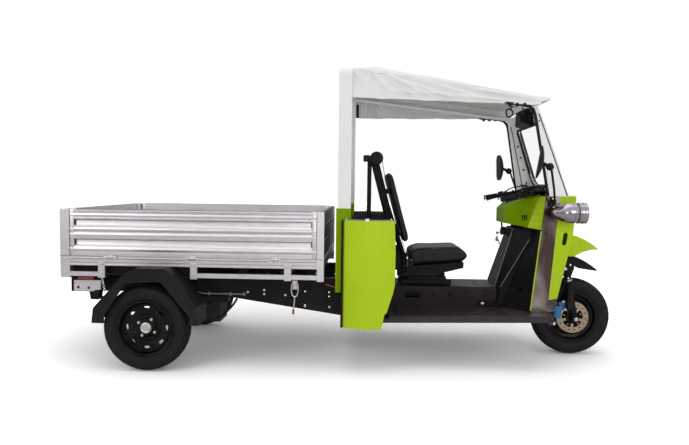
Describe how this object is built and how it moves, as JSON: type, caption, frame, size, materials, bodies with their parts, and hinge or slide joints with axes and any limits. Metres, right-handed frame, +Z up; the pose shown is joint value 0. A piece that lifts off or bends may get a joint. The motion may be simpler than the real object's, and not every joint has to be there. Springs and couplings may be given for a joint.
{
  "type": "cargo auto rickshaw",
  "caption": "Three-wheeled cargo rickshaw: handlebar-steered open cab with a fabric canopy and windscreen, and a flat aluminium tray with drop gates.",
  "frame": {"origin": "on the ground, below the middle of the whole length and width", "axes": "+X forward, +Y to the vehicle's left, +Z up"},
  "size_m": [3.6229, 1.4, 1.8978],
  "materials": {
    "green_paint": "gloss",
    "white_paint": "satin",
    "black_paint": "satin powder coat",
    "black_plastic": "matt",
    "canopy_fabric": "coated cloth",
    "seat_vinyl": "grained vinyl",
    "tray_aluminium": "brushed extrusion",
    "deck_aluminium": "worn sheet",
    "dark_aluminium": "dark anodised",
    "polished_steel": "polished",
    "bright_steel": "machined",
    "disc_steel": "machined, warm",
    "cast_grey": "rough",
    "tyre_rubber": "matt",
    "grip_rubber": "matt",
    "clear_glass": "clear",
    "lamp_glass": "clear",
    "red_lens": "gloss",
    "blue_paint": "gloss"
  },
  "bodies": {
    "chassis": {"chassis_frame": "black_paint", "rear_axle": "black_paint", "motor_block": "cast_grey", "leaf_springs": "black_paint", "rear_mudguards": "black_plastic", "tray_frame": "tray_aluminium", "tray_deck": "deck_aluminium", "tray_headboard": "dark_aluminium", "tray_posts": "tray_aluminium", "rear_lamp_bar": "tray_aluminium", "rear_lamps": "red_lens", "floor_tunnel": "black_paint", "running_boards": "black_paint", "leg_shield": "black_paint", "steering_head": "black_paint", "dash_fairing": "green_paint", "nose_shell": "green_paint", "nose_trims": "polished_steel", "nose_beak": "green_paint", "headlamp_pods": "polished_steel", "headlamp_lenses": "lamp_glass", "hoop_upper": "white_paint", "hoop_lower": "green_paint", "side_panels": "green_paint", "battery_box": "black_paint", "canopy": "canopy_fabric", "windscreen_frame": "white_paint", "windscreen_glass": "clear_glass", "wiper_motor": "black_plastic", "mirrors": "black_plastic", "seat_base": "black_paint", "seat_cushion": "seat_vinyl", "seat_back": "seat_vinyl", "belt_frame": "black_paint", "brake_pedal": "black_paint"},
    "steering": {"fork": "black_paint", "fork_springs": "bright_steel", "handlebar": "black_paint", "grips": "grip_rubber", "instrument_cluster": "black_plastic", "front_mudguard": "black_plastic", "brake_caliper": "blue_paint"},
    "front_wheel": {"front_tyre": "tyre_rubber", "front_rim": "black_paint", "brake_disc": "disc_steel"},
    "rear_wheel_left": {"rear_tyre_left": "tyre_rubber", "rear_rim_left": "black_paint"},
    "rear_wheel_right": {"rear_tyre_right": "tyre_rubber", "rear_rim_right": "black_paint"},
    "side_gate_left": {"side_gate_left": "tray_aluminium"},
    "side_gate_right": {"side_gate_right": "tray_aluminium"},
    "tailgate": {"tailgate": "tray_aluminium"}
  },
  "joints": [
    {"name": "steering_turn", "type": "hinge", "parent": "chassis", "child": "steering", "pos_m": [1.49766, 0, 0.268], "axis": [-0.1908, 0, 0.9816], "range_deg": [-25, 25]},
    {"name": "front_wheel_spin", "type": "hinge", "parent": "steering", "child": "front_wheel", "pos_m": [1.5435, 0, 0.268], "axis": [0, 1, 0], "continuous": true},
    {"name": "rear_wheel_left_spin", "type": "hinge", "parent": "chassis", "child": "rear_wheel_left", "pos_m": [-1.2505, 0.592, 0.268], "axis": [0, 1, 0], "continuous": true},
    {"name": "rear_wheel_right_spin", "type": "hinge", "parent": "chassis", "child": "rear_wheel_right", "pos_m": [-1.2505, -0.592, 0.268], "axis": [0, 1, 0], "continuous": true},
    {"name": "side_gate_left_drop", "type": "hinge", "parent": "chassis", "child": "side_gate_left", "pos_m": [-0.9675, 0.608, 0.702], "axis": [-1, 0, 0], "range_deg": [0, 110]},
    {"name": "side_gate_right_drop", "type": "hinge", "parent": "chassis", "child": "side_gate_right", "pos_m": [-0.9675, -0.608, 0.702], "axis": [1, 0, 0], "range_deg": [0, 110]},
    {"name": "tailgate_drop", "type": "hinge", "parent": "chassis", "child": "tailgate", "pos_m": [-1.8055, 0, 0.702], "axis": [0, -1, 0], "range_deg": [0, 175]}
  ]
}
